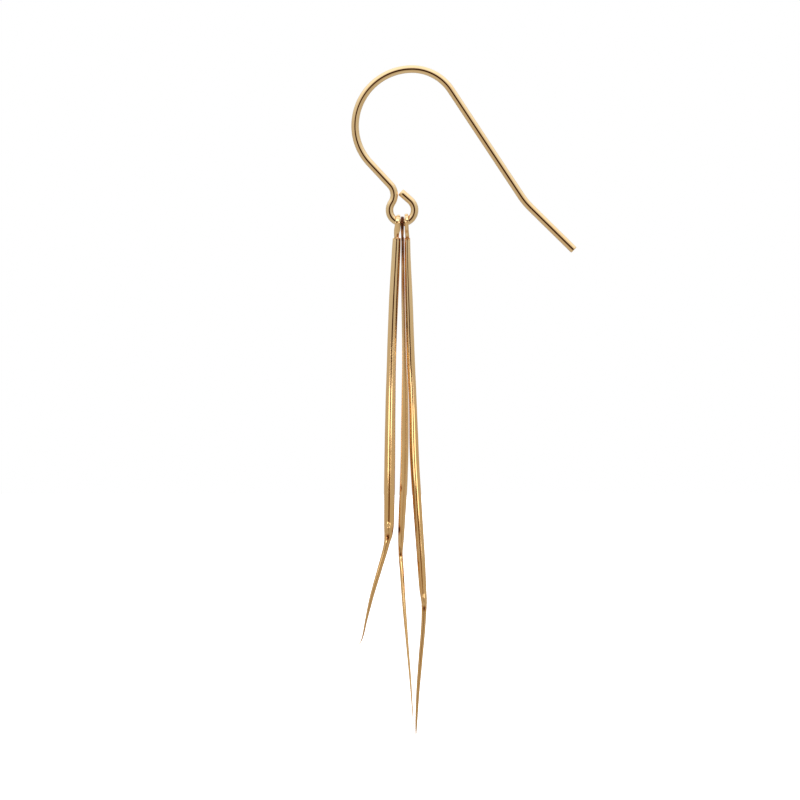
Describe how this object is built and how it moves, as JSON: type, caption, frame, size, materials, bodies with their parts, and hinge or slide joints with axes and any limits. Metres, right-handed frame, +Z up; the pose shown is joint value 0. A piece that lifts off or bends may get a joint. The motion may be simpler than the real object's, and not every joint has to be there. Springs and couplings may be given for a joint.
{
  "type": "dangle earring",
  "caption": "Polished gold dangle earring: a bent ear wire with an open loop that carries three long kinked spike drops, each swinging on its own strap bail.",
  "frame": {"origin": "the underside of the top of the ear wire's arch, where the earring hangs on the ear", "axes": "+Z up, +X from the loop towards the ear wire's tail, the ear wire lies in the XZ plane and is seen from -Y"},
  "size_m": [0.0237, 0.0061, 0.0711],
  "materials": {
    "ear_hook": "polished",
    "drop_short": "polished",
    "drop_middle": "polished",
    "drop_long": "polished"
  },
  "bodies": {
    "ear_wire": {"ear_hook": "ear_hook"},
    "short_drop": {"drop_short": "drop_short"},
    "middle_drop": {"drop_middle": "drop_middle"},
    "long_drop": {"drop_long": "drop_long"}
  },
  "joints": [
    {"name": "short_drop_swing", "type": "hinge", "parent": "ear_wire", "child": "short_drop", "pos_m": [-0.00144, 0, -0.01568], "axis": [1, 0, 0], "range_deg": [-80, 80]},
    {"name": "middle_drop_swing", "type": "hinge", "parent": "ear_wire", "child": "middle_drop", "pos_m": [-0.00102, 0, -0.01586], "axis": [1, 0, 0], "range_deg": [-80, 80]},
    {"name": "long_drop_swing", "type": "hinge", "parent": "ear_wire", "child": "long_drop", "pos_m": [-0.0006, 0, -0.01557], "axis": [1, 0, 0], "range_deg": [-80, 80]}
  ]
}
